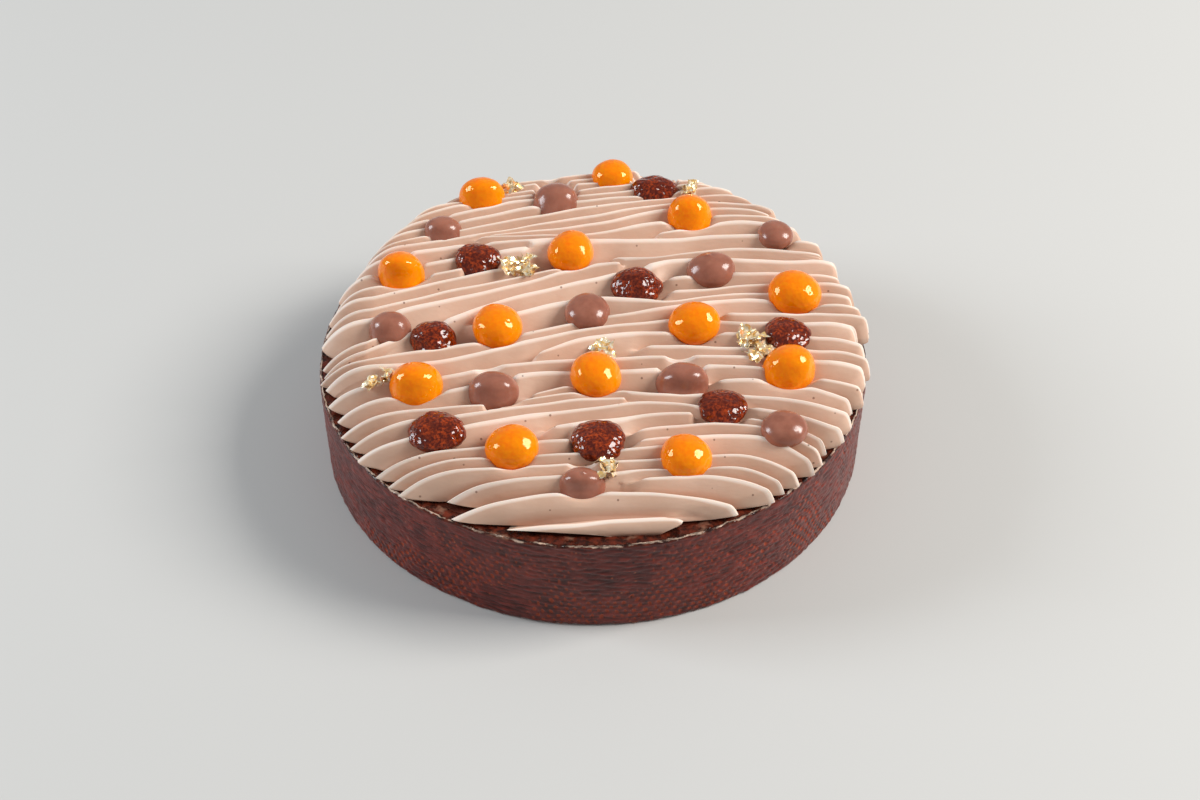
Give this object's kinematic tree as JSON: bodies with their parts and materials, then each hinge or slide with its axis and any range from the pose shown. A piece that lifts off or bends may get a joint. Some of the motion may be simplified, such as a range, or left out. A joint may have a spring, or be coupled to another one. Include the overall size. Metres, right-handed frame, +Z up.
{
  "type": "passion fruit tart",
  "caption": "Round straight-sided dark chocolate tart covered with ridged piped cream and dotted with shiny fruit gel, milk chocolate and praline drops and flecks of gold leaf.",
  "frame": {"origin": "middle of the crust's flat underside", "axes": "+Z up through the cream; the piped ridges run along X; -Y is the front in the picture"},
  "size_m": [0.185, 0.185, 0.0549],
  "materials": {
    "crust": "satin baked cocoa shortcrust with a fine mesh imprint",
    "filling": "soft set filling, slightly glossy",
    "cream": "smooth whipped milk chocolate cream",
    "fruit_gel": "glossy passion fruit gel",
    "milk_chocolate": "semi-gloss milk chocolate ganache",
    "praline": "wet chopped nut praline in caramel",
    "gold_leaf": "crumpled edible gold leaf"
  },
  "bodies": {
    "root": {"crust": "crust", "filling": "filling", "cream": "cream", "fruit_gel_01": "fruit_gel", "fruit_gel_02": "fruit_gel", "fruit_gel_03": "fruit_gel", "fruit_gel_04": "fruit_gel", "fruit_gel_05": "fruit_gel", "fruit_gel_06": "fruit_gel", "fruit_gel_07": "fruit_gel", "fruit_gel_08": "fruit_gel", "fruit_gel_09": "fruit_gel", "fruit_gel_10": "fruit_gel", "fruit_gel_11": "fruit_gel", "fruit_gel_12": "fruit_gel", "fruit_gel_13": "fruit_gel", "milk_chocolate_01": "milk_chocolate", "milk_chocolate_02": "milk_chocolate", "milk_chocolate_03": "milk_chocolate", "milk_chocolate_04": "milk_chocolate", "milk_chocolate_05": "milk_chocolate", "milk_chocolate_06": "milk_chocolate", "milk_chocolate_07": "milk_chocolate", "milk_chocolate_08": "milk_chocolate", "milk_chocolate_09": "milk_chocolate", "milk_chocolate_10": "milk_chocolate", "praline_01": "praline", "praline_02": "praline", "praline_03": "praline", "praline_04": "praline", "praline_05": "praline", "praline_06": "praline", "praline_07": "praline", "praline_08": "praline"}
  },
  "joints": []
}
